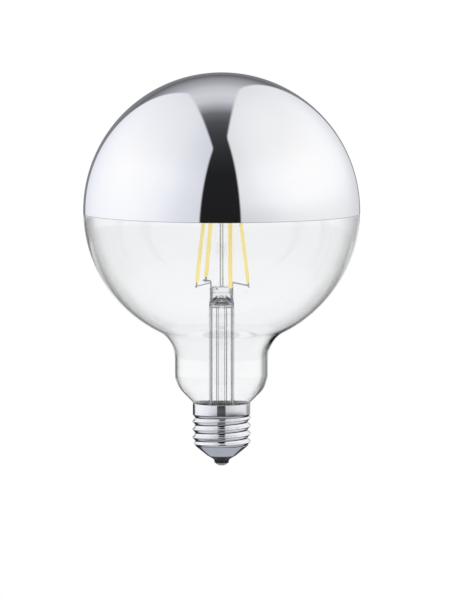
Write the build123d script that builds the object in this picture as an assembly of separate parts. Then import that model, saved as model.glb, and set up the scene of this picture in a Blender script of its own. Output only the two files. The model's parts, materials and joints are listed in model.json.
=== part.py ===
from build123d import *
import os
from math import cos, pi, radians, sin, sqrt

# LED filament globe lamp with a half-mirror bulb and an Edison screw cap, in millimetres.
# The origin is the lowest point of the centre contact, +Z runs up the lamp's axis, and the
# lamp is seen from -Y. With the sizes below it is 178 mm long and 125 mm wide.

# Glass bulb: upper half a true sphere, lower half drawn in slightly towards the neck
GLOBE_DIAMETER = 125.0
GLASS_WALL = 0.8
LOWER_ARC_RADIUS = 61.0
SHOULDER_FILLET = 13.7
NECK_DIAMETER = 42.2
NECK_LENGTH = 6.77
NECK_ROUND = 12.5
SPIGOT_FILLET = 1.0
SPIGOT_RISE = 0.3

# Mirror coating on the upper half
MIRROR_THICKNESS = 0.1
MIRROR_BELOW_WIDEST = 1.2

# Screw cap: sheet-metal shell with a plain collar, a rolled thread and a cone
CAP_HEIGHT = 28.4
COLLAR_DIAMETER = 26.1
COLLAR_HEIGHT = 4.8
SHEET = 0.3
THREAD_MAJOR_DIAMETER = 26.45
THREAD_DEPTH = 1.1
THREAD_PITCH = 3.629
THREAD_RUNOUT = 1.9
THREAD_CREST_HEIGHT = 18.2
SECTIONS_PER_TURN = 12
CONE_TOP = 9.2
CONE_TOP_DIAMETER = 24.4
CONE_BOTTOM = 4.6
CONE_BOTTOM_DIAMETER = 13.0
RIM_GAP = 0.35
CEMENT_THICKNESS = 0.55

# Insulator and centre contact
BOSS_DIAMETER = 6.5
BOSS_TOP = 1.7
FLARE_SLOPE = 30.0
CONTACT_HEIGHT = 1.27
CONTACT_DIAMETER = 5.9
CONTACT_SHEET = 0.35
SOLDER_DIAMETER = 3.4
INSULATOR_BORE = 2.0
INSULATOR_CUP_DIAMETER = 11.0
INSULATOR_FLOOR = 1.2

# Glass stem inside the bulb: flare, tube and flat press
STEM_DIAMETER = 11.4
STEM_WALL = 0.8
STEM_LENGTH = 57.5
FLARE_HEIGHT = 6.6
PRESS_HEIGHT = 8.4
PRESS_SHOULDER = 3.4
PRESS_WIDTH = 10.6
PRESS_THICKNESS = 4.4
PRESS_CORNER = 1.6
PRESS_TOP_ROUND = 0.8
EXHAUST_DIAMETER = 5.0
EXHAUST_BORE = 2.8
EXHAUST_REACH = 4.4
EXHAUST_OPENING_RISE = 2.6
ROD_DIAMETER = 1.9
BUTTON_DIAMETER = 4.6
BUTTON_HEIGHT = 4.2
BUTTON_ROUND = 1.5

# LED filaments: a coated metal strip each, nearer to the axis at the top than at the foot.
# Their feet lie at these heights above the top of the press.
FILAMENT_FOOT_AZIMUTHS = (209.0, 123.5, 288.1, 20.4)
FILAMENT_HEAD_AZIMUTHS = (206.2, 121.0, 297.3, 17.2)
FILAMENT_FOOT_RISES = (2.3, 3.5, 0.1, 1.5)
FILAMENT_FOOT_RADIUS = 12.8
FILAMENT_HEAD_RADIUS = 8.3
COAT_LENGTH = 33.0
COAT_WIDTH = 1.9
COAT_THICKNESS = 1.4
COAT_END_ROUND = 0.35
STRIP_WIDTH = 1.1
STRIP_THICKNESS = 0.35
TAB_LENGTH = 2.6
TAB_HOLD = 1.7

# Wires above the press, and the lead-in wires below it
WIRE_DIAMETER = 0.6
WIRE_BEND = 1.2
WIRE_OVERRUN = 0.7
BRANCH_DIAMETER = 0.45
BRANCH_OVERRUN = 1.3
WELD_CLEARANCE = 0.15
LEAD_DIAMETER = 0.7
LEAD_CLEARANCE = 0.05
POST_LEAN = 0.45
POST_BEND = 0.7
POST_RISE_LEFT = 2.4
POST_RISE_RIGHT = 1.7
BRANCH_DROP = 0.8
UPPER_WIRE_RISE = 2.2
UPPER_WIRE_STEP = 1.4

# Driver inside the cap
BOARD_THICKNESS = 1.0
BOARD_CLEARANCE = 0.3
DRIVER_HEADROOM = 0.9
CAPACITOR_DIAMETER = 6.3
CAPACITOR_EDGE = 2.0
CAPACITOR_ROUND = 0.4
GROOVE_HEIGHT = 1.8
GROOVE_RADIUS = 0.35
GROOVE_DEPTH = 0.23
INDUCTOR_DIAMETER = 5.6
INDUCTOR_HEIGHT = 6.4
INDUCTOR_EDGE = 1.7
INDUCTOR_CHEEK = 1.0
WINDING_DEPTH = 0.5
RECTIFIER_SIZE = (3.9, 4.7, 2.4)
RECTIFIER_PINS = 2
CHIP_SIZE = (3.9, 4.9, 1.5)
CHIP_PINS = 4
PACKAGE_DRAFT = 0.35
PACKAGE_CLEARANCE = 0.3
PIN_WIDTH = 0.5
PIN_REACH = 0.9
PIN_THICKNESS = 0.25
RESISTOR_DIAMETER = 2.6
RESISTOR_LENGTH = 3.6
RESISTOR_ROUND = 0.3
SHELL_WIRE_INSET = 0.9

# The flat that a fillet or a full round leaves, so that its face keeps some width
ROUND_MARGIN = 0.1

# Heights and radii that follow from the sizes above, from the cap upwards
collar_radius = COLLAR_DIAMETER / 2
collar_bore = collar_radius - SHEET
collar_bottom = CAP_HEIGHT - COLLAR_HEIGHT
rim_height = CAP_HEIGHT + RIM_GAP
thread_mean_radius = (THREAD_MAJOR_DIAMETER - THREAD_DEPTH) / 2
thread_root_bore = THREAD_MAJOR_DIAMETER / 2 - THREAD_DEPTH - SHEET
cone_top_radius = CONE_TOP_DIAMETER / 2
cone_bottom_radius = CONE_BOTTOM_DIAMETER / 2
insulator_floor = CONE_BOTTOM + INSULATOR_FLOOR

spigot_radius = collar_bore - CEMENT_THICKNESS
spigot_bottom = collar_bottom + SPIGOT_RISE
# The 45 degree taper passes just outside the top edge of the cap's collar.
taper_rise = rim_height - collar_radius
neck_radius = NECK_DIAMETER / 2
neck_round_height = neck_radius - NECK_ROUND + taper_rise + NECK_ROUND * sqrt(2)
shoulder_height = neck_round_height + NECK_LENGTH
shoulder_radius = neck_radius + SHOULDER_FILLET

globe_radius = GLOBE_DIAMETER / 2
glass_radius = globe_radius - MIRROR_THICKNESS
lower_radius = LOWER_ARC_RADIUS - MIRROR_THICKNESS
lower_offset = glass_radius - lower_radius
shoulder_reach = lower_radius + SHOULDER_FILLET
globe_height = shoulder_height + sqrt(shoulder_reach**2 - (shoulder_radius - lower_offset) ** 2)

stem_radius = STEM_DIAMETER / 2
stem_bore = stem_radius - STEM_WALL
stem_bottom = spigot_bottom - STEM_WALL
press_top = spigot_bottom + STEM_LENGTH
press_bottom = press_top - PRESS_HEIGHT
press_full_height = press_bottom + PRESS_SHOULDER
exhaust_radius = EXHAUST_DIAMETER / 2
exhaust_bore = EXHAUST_BORE / 2
exhaust_tip = spigot_bottom - EXHAUST_REACH
lead_offset = stem_bore - LEAD_CLEARANCE - LEAD_DIAMETER / 2

board_radius = thread_root_bore - BOARD_CLEARANCE
board_bottom = CONE_TOP + THREAD_RUNOUT
board_top = board_bottom + BOARD_THICKNESS
shell_wire_start = board_radius - SHELL_WIRE_INSET - WIRE_DIAMETER / 2


def point(radius, height):
    """A point of a turned outline, at a radius and a height."""
    return Vector(radius, 0, height)


def polar(radius, azimuth, height):
    """A point at a radius and an azimuth in degrees round the lamp's axis."""
    return Vector(radius * cos(radians(azimuth)), radius * sin(radians(azimuth)), height)


def outline(*corners):
    """The straight edges through a row of outline points."""
    return [Line(a, b).edge() for a, b in zip(corners, corners[1:])]


def arc(centre, start, end):
    """The shorter round edge about a centre, between two outline points."""
    bulge = ((start - centre) + (end - centre)).normalized() * (start - centre).length
    return ThreePointArc(start, centre + bulge, end).edge()


def turned(edges):
    """The solid that a closed outline sweeps in one turn round the axis."""
    return revolve(make_face(Wire(edges)), Axis.Z)


def standing(radius, height):
    """A round bar that stands on the level of the origin."""
    return Cylinder(radius, height, align=(Align.CENTER, Align.CENTER, Align.MIN))


def bent_wire(points, diameter, bend):
    """A round wire along straight runs that are joined by bends of one radius."""
    path = FilletPolyline(*points, radius=bend) if len(points) > 2 else Line(*points)
    section = Plane(path @ 0, z_dir=path % 0) * Circle(diameter / 2)
    return sweep(section, path)


def globe_form(inset):
    """The solid inside the bulb's outline, which lies at an inset from the outer glass."""
    top_centre = point(0, globe_height)
    low_centre = point(lower_offset, globe_height)
    top_r, low_r = glass_radius - inset, lower_radius - inset
    top, widest = point(0, globe_height + top_r), point(top_r, globe_height)

    shoulder = point(shoulder_radius, shoulder_height)
    meets_globe = low_centre + (shoulder - low_centre) * (low_r / shoulder_reach)
    meets_neck = point(neck_radius - inset, shoulder_height)

    slant = 1 / sqrt(2)
    round_r = NECK_ROUND - inset
    rounding = point(neck_radius - NECK_ROUND, neck_round_height)
    leaves_neck = rounding + point(round_r, 0)
    meets_taper = rounding + point(round_r * slant, -round_r * slant)

    hollow_r = SPIGOT_FILLET + inset
    hollow_x = spigot_radius + SPIGOT_FILLET
    hollow = point(hollow_x, hollow_x + taper_rise - SPIGOT_FILLET / slant)
    leaves_taper = hollow + point(-hollow_r * slant, hollow_r * slant)
    meets_spigot = hollow - point(hollow_r, 0)
    spigot_end = point(spigot_radius - inset, spigot_bottom)

    return turned([
        arc(top_centre, top, widest),
        arc(low_centre, widest, meets_globe),
        arc(shoulder, meets_globe, meets_neck),
        *outline(meets_neck, leaves_neck),
        arc(rounding, leaves_neck, meets_taper),
        *outline(meets_taper, leaves_taper),
        arc(hollow, leaves_taper, meets_spigot),
        *outline(meets_spigot, spigot_end, point(0, spigot_bottom), top),
    ])


def mirror_coating():
    """The thin bright skin over the upper half, down to just below the widest height."""
    skin = Sphere(globe_radius) - Sphere(glass_radius)
    below = Pos(0, 0, -MIRROR_BELOW_WIDEST - globe_radius) * standing(GLOBE_DIAMETER, globe_radius)
    return Pos(0, 0, globe_height) * (skin - below) - globe_form(0)


def thread_ring(height, inset):
    """The thread's level section: a circle whose centre turns once in each pitch of rise."""
    def fade(distance):
        share = min(distance / THREAD_RUNOUT, 1.0)
        return share * share * (3 - 2 * share)
    from_top, from_bottom = fade(collar_bottom - height), fade(height - CONE_TOP)
    radius = thread_mean_radius * from_top * from_bottom
    radius += collar_radius * (1 - from_top) + cone_top_radius * (1 - from_bottom)
    swing = THREAD_DEPTH / 2 * from_top * from_bottom
    turn = 2 * pi * (height - THREAD_CREST_HEIGHT) / THREAD_PITCH
    centre = Plane((swing * cos(turn), swing * sin(turn), height))
    return Wire([Edge.make_circle(radius - inset, centre)])


def thread_skin(inset):
    """The rolled thread's surface at an inset, with the crests running out at both ends."""
    span = collar_bottom - CONE_TOP
    steps = round(span / THREAD_PITCH * SECTIONS_PER_TURN)
    core = Solid.make_loft([thread_ring(CONE_TOP + span * i / steps, inset) for i in range(steps + 1)])
    return [face for face in core.faces() if face.geom_type != GeomType.PLANE]


def turned_skin(*corners):
    """The surfaces that the lines through a row of outline points sweep in one turn."""
    return [Face.revolve(edge, 360, Axis.Z) for edge in outline(*corners)]


def cap_shell():
    """One drawn sheet: collar, rolled thread and cone, open at the collar and at the foot."""
    collar = turned_skin(
        point(collar_radius, collar_bottom), point(collar_radius, CAP_HEIGHT),
        point(collar_bore, CAP_HEIGHT), point(collar_bore, collar_bottom))
    cone = turned_skin(
        point(cone_top_radius, CONE_TOP), point(cone_bottom_radius, CONE_BOTTOM),
        point(cone_bottom_radius - SHEET, CONE_BOTTOM + SHEET),
        point(cone_top_radius - SHEET, CONE_TOP))
    return Solid(Shell(thread_skin(0) + thread_skin(SHEET) + collar + cone))


def insulator():
    """The moulded plug in the cap's cone, with a cup above and the contact's boss below."""
    lip = cone_bottom_radius - SHEET
    boss, seat = BOSS_DIAMETER / 2, CONTACT_HEIGHT
    spread = (cone_top_radius - cone_bottom_radius) / (CONE_TOP - CONE_BOTTOM - SHEET)
    edge_height = CONE_TOP - SHEET
    edge = lip + spread * (edge_height - CONE_BOTTOM - SHEET)
    bore, cup = INSULATOR_BORE / 2, INSULATOR_CUP_DIAMETER / 2
    skirt, waist = point(cone_bottom_radius, CONE_BOTTOM), point(boss, BOSS_TOP)
    # The underside rises straight at the flare's slope, out of a hollow round on the boss.
    slope = radians(FLARE_SLOPE)
    reach, rise = skirt.X - waist.X, skirt.Z - waist.Z
    hollow_r = (rise * cos(slope) - reach * sin(slope)) / (1 - sin(slope))
    hollow = waist + point(hollow_r, 0)
    leaves_hollow = hollow + point(-hollow_r * sin(slope), hollow_r * cos(slope))
    return turned([
        *outline(point(bore, seat), point(boss, seat), waist),
        arc(hollow, waist, leaves_hollow),
        *outline(leaves_hollow, skirt, point(lip, CONE_BOTTOM + SHEET), point(edge, edge_height),
                 point(cup, edge_height), point(cup, insulator_floor),
                 point(bore, insulator_floor), point(bore, seat)),
    ])


def contact_dome():
    """The contact's outer form: flat on top, with its lowest point on the origin."""
    rim, height = CONTACT_DIAMETER / 2, CONTACT_HEIGHT
    ball = (rim**2 + height**2) / (2 * height)
    upper, lower = point(0, height), point(0, 0)
    return turned([
        *outline(lower, upper, point(rim, height)),
        arc(point(0, ball), point(rim, height), lower),
    ])


def solder_plug():
    """The column that the solder fills, through the contact's hole."""
    return standing(SOLDER_DIAMETER / 2, CONTACT_HEIGHT)


def centre_contact():
    """The stamped contact: a domed washer under the insulator's boss, with a solder hole."""
    return contact_dome() - Pos(0, 0, CONTACT_SHEET) * contact_dome() - solder_plug()


def contact_solder():
    """The solder joint: it closes the hole and fills the dome up to the insulator."""
    return contact_dome() & solder_plug()


def basing_cement():
    """The cement between the glass neck and the collar, up to the glass's taper."""
    ring = standing(collar_bore, rim_height - spigot_bottom)
    return Pos(0, 0, spigot_bottom) * ring - globe_form(0)


def press_section(height):
    """A level section of the press, a rounded rectangle."""
    return Plane((0, 0, height)) * RectangleRounded(PRESS_WIDTH, PRESS_THICKNESS, PRESS_CORNER)


def stem_glass(wires):
    """Flare, tube and flat press in one piece, sealed round the lead wires."""
    flare_top = spigot_bottom + FLARE_HEIGHT
    rim = spigot_radius - GLASS_WALL
    reach = rim - stem_radius
    flare_r = (reach**2 + FLARE_HEIGHT**2) / (2 * reach)
    centre = point(stem_radius + flare_r, flare_top)
    inner_rim = centre.X - sqrt((flare_r + STEM_WALL) ** 2 - (flare_top - stem_bottom) ** 2)
    bore_top = press_bottom - STEM_WALL
    body = turned([
        *outline(point(0, stem_bottom), point(0, press_bottom), point(stem_radius, press_bottom),
                 point(stem_radius, flare_top)),
        arc(centre, point(stem_radius, flare_top), point(rim, spigot_bottom)),
        *outline(point(rim, spigot_bottom), point(spigot_radius, spigot_bottom),
                 point(spigot_radius, stem_bottom), point(0, stem_bottom)),
    ])
    bore = turned([
        *outline(point(0, stem_bottom), point(0, bore_top), point(stem_bore, bore_top),
                 point(stem_bore, flare_top)),
        arc(centre, point(stem_bore, flare_top), point(inner_rim, stem_bottom)),
        *outline(point(inner_rim, stem_bottom), point(0, stem_bottom)),
    ])
    foot = Plane((0, 0, press_bottom)) * Circle(stem_radius)
    shoulder = loft([foot, press_section(press_full_height)])
    block = extrude(press_section(press_full_height), press_top - press_full_height)
    block = fillet(block.faces().sort_by(Axis.Z)[-1].edges(), PRESS_TOP_ROUND)
    glass = body + shoulder + block - bore - exhaust_passage()
    for wire in wires:
        glass -= wire
    return glass


def exhaust_passage():
    """The pumping passage, from the exhaust tube up into the press and out at its front."""
    tube_top = press_bottom - STEM_WALL
    opening = Plane((0, 0, press_bottom + EXHAUST_OPENING_RISE), z_dir=(0, -1, 0))
    rise = Pos(0, 0, tube_top) * standing(exhaust_bore, STEM_WALL + EXHAUST_OPENING_RISE)
    return rise + extrude(opening * Circle(exhaust_bore), stem_radius)


def exhaust_tube():
    """The pumping tube down the middle of the stem, melted shut at its round tip."""
    outer, inner = exhaust_radius, exhaust_bore
    top, close = press_bottom - STEM_WALL, exhaust_tip + exhaust_radius
    return turned([
        *outline(point(0, close - inner), point(0, exhaust_tip)),
        arc(point(0, close), point(0, exhaust_tip), point(outer, close)),
        *outline(point(outer, close), point(outer, top), point(inner, top), point(inner, close)),
        arc(point(0, close), point(inner, close), point(0, close - inner)),
    ])


def filament_frame(index):
    """The place of a filament: Z from foot to head, X pointing away from the lamp's axis."""
    foot_height = press_top + FILAMENT_FOOT_RISES[index]
    lean = FILAMENT_FOOT_RADIUS - FILAMENT_HEAD_RADIUS
    rise = sqrt(COAT_LENGTH**2 - lean**2)
    foot = polar(FILAMENT_FOOT_RADIUS, FILAMENT_FOOT_AZIMUTHS[index], foot_height)
    head = polar(FILAMENT_HEAD_RADIUS, FILAMENT_HEAD_AZIMUTHS[index], foot_height + rise)
    return Plane(foot, x_dir=polar(1, FILAMENT_FOOT_AZIMUTHS[index], 0), z_dir=head - foot)


def filament_strip(index):
    """The metal strip that carries the chips, with a bare weld tab at each end."""
    strip = extrude(Rectangle(STRIP_THICKNESS, STRIP_WIDTH), COAT_LENGTH + 2 * TAB_LENGTH)
    return filament_frame(index) * Pos(0, 0, -TAB_LENGTH) * strip


def filament_coat(index):
    """The phosphor coat, moulded round the strip and rounded at both ends."""
    corner = COAT_THICKNESS / 2 - ROUND_MARGIN
    body = extrude(RectangleRounded(COAT_THICKNESS, COAT_WIDTH, corner), COAT_LENGTH)
    ends = body.faces().sort_by(Axis.Z)
    body = fillet(ends[0].edges() + ends[-1].edges(), COAT_END_ROUND)
    body -= extrude(Rectangle(STRIP_THICKNESS, STRIP_WIDTH), COAT_LENGTH)
    return filament_frame(index) * body


def head_weld(index):
    """The end of an upper wire, welded to the inner face of a filament's upper tab."""
    inward = -(STRIP_THICKNESS + WIRE_DIAMETER) / 2 - WELD_CLEARANCE
    return filament_frame(index).from_local_coords(Vector(inward, 0, COAT_LENGTH + TAB_HOLD))


def foot_weld(index, diameter):
    """The place where a lower wire passes the edge of a filament's lower tab."""
    aside = (STRIP_WIDTH + diameter) / 2 + WELD_CLEARANCE
    return filament_frame(index).from_local_coords(Vector(0, aside, -TAB_HOLD))


def post_path(side, index, rise):
    """The route of a lead wire above the press: up out of the glass, then to a foot."""
    weld = foot_weld(index, LEAD_DIAMETER)
    top = Vector(side * (lead_offset + POST_LEAN), 0, press_top + rise)
    past = weld + (weld - top).normalized() * WIRE_OVERRUN
    start = Vector(side * lead_offset, 0, press_full_height + LEAD_CLEARANCE)
    return [start, top, past]


def branch_path(index, post):
    """The route of a branch wire, from the side of a post out to another foot."""
    top, foot = post[1], post[0]
    weld = foot_weld(index, BRANCH_DIAMETER)
    start = top + (foot - top).normalized() * BRANCH_DROP
    outward = (weld - start).normalized()
    return [start + outward * (LEAD_DIAMETER / 2 + WELD_CLEARANCE), weld + outward * BRANCH_OVERRUN]


def upper_path(first, second, height):
    """The route of an upper wire: off one head, through the button and on to another."""
    ends = [head_weld(index) for index in (first, second)]
    shoulders = [Vector(end.X, end.Y, height) for end in ends]
    return [ends[0], shoulders[0], shoulders[1], ends[1]]


def lead_in_path(side):
    """The route of a lead-in wire, straight down inside the stem and onto the board."""
    x = side * lead_offset
    return [Vector(x, 0, press_full_height), Vector(x, 0, board_bottom)]


def upper_heights():
    """The levels of the two upper wires, which cross inside the button without touching."""
    head = max(head_weld(index).Z for index in range(len(FILAMENT_FOOT_AZIMUTHS)))
    return head + UPPER_WIRE_RISE, head + UPPER_WIRE_RISE + UPPER_WIRE_STEP


def support_rod(wires):
    """The glass rod on the press, with its melted button that holds the upper wires."""
    button_middle = sum(upper_heights()) / 2
    rod = Pos(0, 0, press_top) * standing(ROD_DIAMETER / 2, button_middle - press_top)
    widest_round = min(BUTTON_DIAMETER, BUTTON_HEIGHT) / 2 - ROUND_MARGIN
    button = Cylinder(BUTTON_DIAMETER / 2, BUTTON_HEIGHT)
    button = fillet(button.edges(), min(BUTTON_ROUND, widest_round))
    glass = rod + Pos(0, 0, button_middle) * button
    for wire in wires:
        glass -= wire
    return glass


def driver_board(holes):
    """The round circuit board across the cap, drilled for the wires that pass it."""
    board = Pos(0, 0, board_bottom) * standing(board_radius, BOARD_THICKNESS)
    for x, y, diameter in holes:
        board -= Pos(x, y, board_bottom) * standing(diameter / 2, BOARD_THICKNESS)
    return board


def smoothing_capacitor():
    """The upright electrolytic can, with the rolled groove above its rubber bung."""
    radius = CAPACITOR_DIAMETER / 2
    can = standing(radius, exhaust_tip - DRIVER_HEADROOM - board_top)
    can = fillet(can.edges().group_by(Axis.Z)[-1], CAPACITOR_ROUND)
    groove = Torus(radius + GROOVE_RADIUS - GROOVE_DEPTH, GROOVE_RADIUS)
    can -= Pos(0, 0, GROOVE_HEIGHT) * groove
    return Pos(0, board_radius - CAPACITOR_EDGE - radius, board_top) * can


def storage_inductor():
    """The drum inductor: two ferrite cheeks with the winding between them."""
    radius, winding = INDUCTOR_DIAMETER / 2, INDUCTOR_DIAMETER / 2 - WINDING_DEPTH
    upper = INDUCTOR_HEIGHT - INDUCTOR_CHEEK
    drum = turned(outline(
        point(0, 0), point(radius, 0), point(radius, INDUCTOR_CHEEK),
        point(winding, INDUCTOR_CHEEK), point(winding, upper), point(radius, upper),
        point(radius, INDUCTOR_HEIGHT), point(0, INDUCTOR_HEIGHT), point(0, 0)))
    return Pos(0, radius + INDUCTOR_EDGE - board_radius, board_top) * drum


def chip_package(size, side, pin_count):
    """A moulded package beside a lead-in wire, with flat pins out of its two long sides."""
    width, length, height = size
    top = Plane((0, 0, height)) * Rectangle(width - 2 * PACKAGE_DRAFT, length - 2 * PACKAGE_DRAFT)
    package = loft([Plane.XY * Rectangle(width, length), top])
    for index in range(pin_count):
        y = (index - (pin_count - 1) / 2) * length / pin_count
        package += Pos(0, y, PIN_THICKNESS / 2) * Box(width + 2 * PIN_REACH, PIN_WIDTH, PIN_THICKNESS)
    inner_end = lead_offset + LEAD_DIAMETER / 2 + PACKAGE_CLEARANCE
    return Pos(side * (inner_end + PIN_REACH + width / 2), 0, board_top) * package


def fusible_resistor():
    """The fusible resistor that stands in the insulator's cup, over the contact."""
    body = standing(RESISTOR_DIAMETER / 2, RESISTOR_LENGTH)
    return Pos(0, 0, insulator_floor) * fillet(body.edges(), RESISTOR_ROUND)


def contact_wire_path():
    """The route of the resistor's lower wire, through the insulator onto the solder."""
    return [Vector(0, 0, CONTACT_HEIGHT), Vector(0, 0, insulator_floor)]


def resistor_wire_path():
    """The route of the resistor's upper wire, into the board."""
    return [Vector(0, 0, insulator_floor + RESISTOR_LENGTH), Vector(0, 0, board_top)]


def shell_wire_path():
    """The route of the wire from the board's edge up along the inside of the thread."""
    wall = thread_root_bore - WIRE_DIAMETER / 2 - WELD_CLEARANCE
    top = collar_bottom - THREAD_RUNOUT
    run = (top - board_bottom) / 3
    return [Vector(0, shell_wire_start, board_bottom), Vector(0, shell_wire_start, top - 2 * run),
            Vector(0, wall, top - run), Vector(0, wall, top)]


os.makedirs("parts", exist_ok=True)

low_level, high_level = upper_heights()
upper_wires = {
    "upper_wire_low": bent_wire(upper_path(0, 3, low_level), WIRE_DIAMETER, WIRE_BEND),
    "upper_wire_high": bent_wire(upper_path(1, 2, high_level), WIRE_DIAMETER, WIRE_BEND),
}
left_post = post_path(-1, 1, POST_RISE_LEFT)
right_post = post_path(1, 3, POST_RISE_RIGHT)
sealed_wires = {
    "post_wire_left": bent_wire(left_post, LEAD_DIAMETER, POST_BEND),
    "post_wire_right": bent_wire(right_post, LEAD_DIAMETER, POST_BEND),
    "lead_in_wire_left": bent_wire(lead_in_path(-1), LEAD_DIAMETER, POST_BEND),
    "lead_in_wire_right": bent_wire(lead_in_path(1), LEAD_DIAMETER, POST_BEND),
}
board_holes = [
    (-lead_offset, 0, LEAD_DIAMETER),
    (lead_offset, 0, LEAD_DIAMETER),
    (0, 0, WIRE_DIAMETER),
    (0, shell_wire_start, WIRE_DIAMETER),
]

nodes = {
    "glass_globe": globe_form(0) - globe_form(GLASS_WALL),
    "mirror_coating": mirror_coating(),
    "stem_glass": stem_glass(sealed_wires.values()),
    "exhaust_tube": exhaust_tube(),
    "support_rod": support_rod(upper_wires.values()),
    **upper_wires,
    **sealed_wires,
    "branch_wire_left": bent_wire(branch_path(0, left_post), BRANCH_DIAMETER, WIRE_BEND),
    "branch_wire_right": bent_wire(branch_path(2, right_post), BRANCH_DIAMETER, WIRE_BEND),
    "cap_shell": cap_shell(),
    "basing_cement": basing_cement(),
    "cap_insulator": insulator(),
    "centre_contact": centre_contact(),
    "contact_solder": contact_solder(),
    "driver_board": driver_board(board_holes),
    "smoothing_capacitor": smoothing_capacitor(),
    "storage_inductor": storage_inductor(),
    "bridge_rectifier": chip_package(RECTIFIER_SIZE, -1, RECTIFIER_PINS),
    "driver_chip": chip_package(CHIP_SIZE, 1, CHIP_PINS),
    "fusible_resistor": fusible_resistor(),
    "contact_wire": bent_wire(contact_wire_path(), WIRE_DIAMETER, WIRE_BEND),
    "resistor_wire": bent_wire(resistor_wire_path(), WIRE_DIAMETER, WIRE_BEND),
    "shell_wire": bent_wire(shell_wire_path(), WIRE_DIAMETER, WIRE_BEND),
}
for number in range(len(FILAMENT_FOOT_AZIMUTHS)):
    nodes[f"filament_strip_{number + 1}"] = filament_strip(number)
    nodes[f"filament_coat_{number + 1}"] = filament_coat(number)

for name, solid in nodes.items():
    export_step(solid, f"parts/{name}.step")
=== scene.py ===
import json
from math import acos, atan2, cos, hypot, pi, radians, sin, sqrt

import bpy
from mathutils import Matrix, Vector


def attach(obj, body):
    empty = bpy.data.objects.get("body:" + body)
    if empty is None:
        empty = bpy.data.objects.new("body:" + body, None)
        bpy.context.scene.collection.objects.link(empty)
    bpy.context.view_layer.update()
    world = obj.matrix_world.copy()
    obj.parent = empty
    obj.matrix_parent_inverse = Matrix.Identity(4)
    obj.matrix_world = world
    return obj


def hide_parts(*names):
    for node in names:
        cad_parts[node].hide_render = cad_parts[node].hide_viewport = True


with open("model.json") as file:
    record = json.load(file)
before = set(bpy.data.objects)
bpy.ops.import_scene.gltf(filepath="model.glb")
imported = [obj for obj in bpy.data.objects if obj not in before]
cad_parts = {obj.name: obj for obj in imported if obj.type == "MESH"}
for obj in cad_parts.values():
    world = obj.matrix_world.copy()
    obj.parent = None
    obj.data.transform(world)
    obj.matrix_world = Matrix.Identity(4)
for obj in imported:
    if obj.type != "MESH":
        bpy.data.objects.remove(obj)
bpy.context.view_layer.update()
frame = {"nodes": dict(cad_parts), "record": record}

# A half-mirror filament lamp, lit as in a product studio: a soft box at each side, a dark room
# in front and overhead, and a white background. All lengths are in metres.
MM = 0.001

# The picture: its size, and the lamp's place and scale in it
PICTURE_WIDTH = 450
PICTURE_HEIGHT = 600
PIXELS_PER_MM = 2.213
AXIS_PIXEL_X = 221.64
CONTACT_PIXEL_Y = 466.3
CAMERA_DISTANCE = 2.8
CAMERA_HEIGHT = 0.305
SENSOR_WIDTH = 36.0
CAMERA_NEAR = 0.1
CAMERA_FAR = 200.0

# The bulb, as the construction has it
GLOBE_RADIUS = 62.5 * MM
MIRROR_THICKNESS = 0.1 * MM
MIRROR_BELOW_WIDEST = 1.2 * MM
GLASS_WALL = 0.8 * MM
LOWER_ARC_RADIUS = 61.0 * MM
SHOULDER_FILLET = 13.7 * MM
NECK_RADIUS = 21.1 * MM
NECK_LENGTH = 6.77 * MM
NECK_ROUND = 12.5 * MM
SPIGOT_FILLET = 1.0 * MM
SPIGOT_RISE = 0.3 * MM
CAP_HEIGHT = 28.4 * MM
COLLAR_RADIUS = 13.05 * MM
COLLAR_HEIGHT = 4.8 * MM
SHEET = 0.3 * MM
CEMENT_THICKNESS = 0.55 * MM
RIM_GAP = 0.35 * MM
FILM_GAP = 0.02 * MM

# How much the blown wall gains on the bulb's right, in the globe and in the neck, the heights
# between which each gain comes and goes, and how far round the neck's gain reaches
GLOBE_GAIN = 0.05 * MM
GLOBE_GAIN_COMES = (29 * MM, 37 * MM)
GLOBE_GAIN_GOES = (110 * MM, 150 * MM)
NECK_GAIN = 0.3 * MM
NECK_GAIN_COMES = (29 * MM, 38 * MM)
NECK_GAIN_GOES = (52 * MM, 68 * MM)
NECK_GAIN_REACH = radians(48)

# The cap's rolled thread and cone
THREAD_MAJOR_RADIUS = 13.225 * MM
THREAD_DEPTH = 1.1 * MM
THREAD_PITCH = 3.629 * MM
THREAD_RUNOUT = 1.9 * MM
THREAD_CREST_HEIGHT = 18.2 * MM
CREST_SHARPNESS = 0.08 * MM
CONE_TOP = 9.2 * MM
CONE_TOP_RADIUS = 12.2 * MM
CONE_BOTTOM = 4.6 * MM
CONE_BOTTOM_RADIUS = 6.5 * MM

# The stem with its press, the pumping tube and the glass rod
STEM_RADIUS = 5.7 * MM
STEM_WALL = 0.8 * MM
STEM_LENGTH = 57.5 * MM
FLARE_HEIGHT = 6.6 * MM
PRESS_HEIGHT = 8.4 * MM
PRESS_SHOULDER = 3.4 * MM
PRESS_HALF_WIDTH = 5.3 * MM
PRESS_HALF_DEPTH = 2.2 * MM
PRESS_TOP_ROUND = 0.8 * MM
PRESS_POWER = 3.6
TUBE_RADIUS = 2.5 * MM
TUBE_BORE = 1.4 * MM
TUBE_REACH = 4.4 * MM
BORE_ROUND = 1.2 * MM
TUBE_FOOT_ROUND = 0.4 * MM
ROD_RADIUS = 0.95 * MM
ROD_FOOT_ROUND = 0.4 * MM
BUTTON_RADIUS = 2.3 * MM
BUTTON_ROUND = 1.5 * MM
BUTTON_TOP = 124.19 * MM
BUTTON_HEIGHT = 4.2 * MM
BUTTON_UNDERCUT = radians(75)

# The step that the jaws leave on the press, by its drop from the top, its share of the depth
# and its half height
JAW_MARK_DROP = 2.7 * MM
JAW_STEP = 0.06
JAW_STEP_HALF = 0.2 * MM
# The pumping hole in its front, by its rise over the press's foot, its depth, and the radii of
# its floor and its rim
HOLE_RISE = 2.9 * MM
HOLE_DEPTH = 1.2 * MM
HOLE_FLOOR = 0.9 * MM
HOLE_RIM = 1.5 * MM
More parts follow.
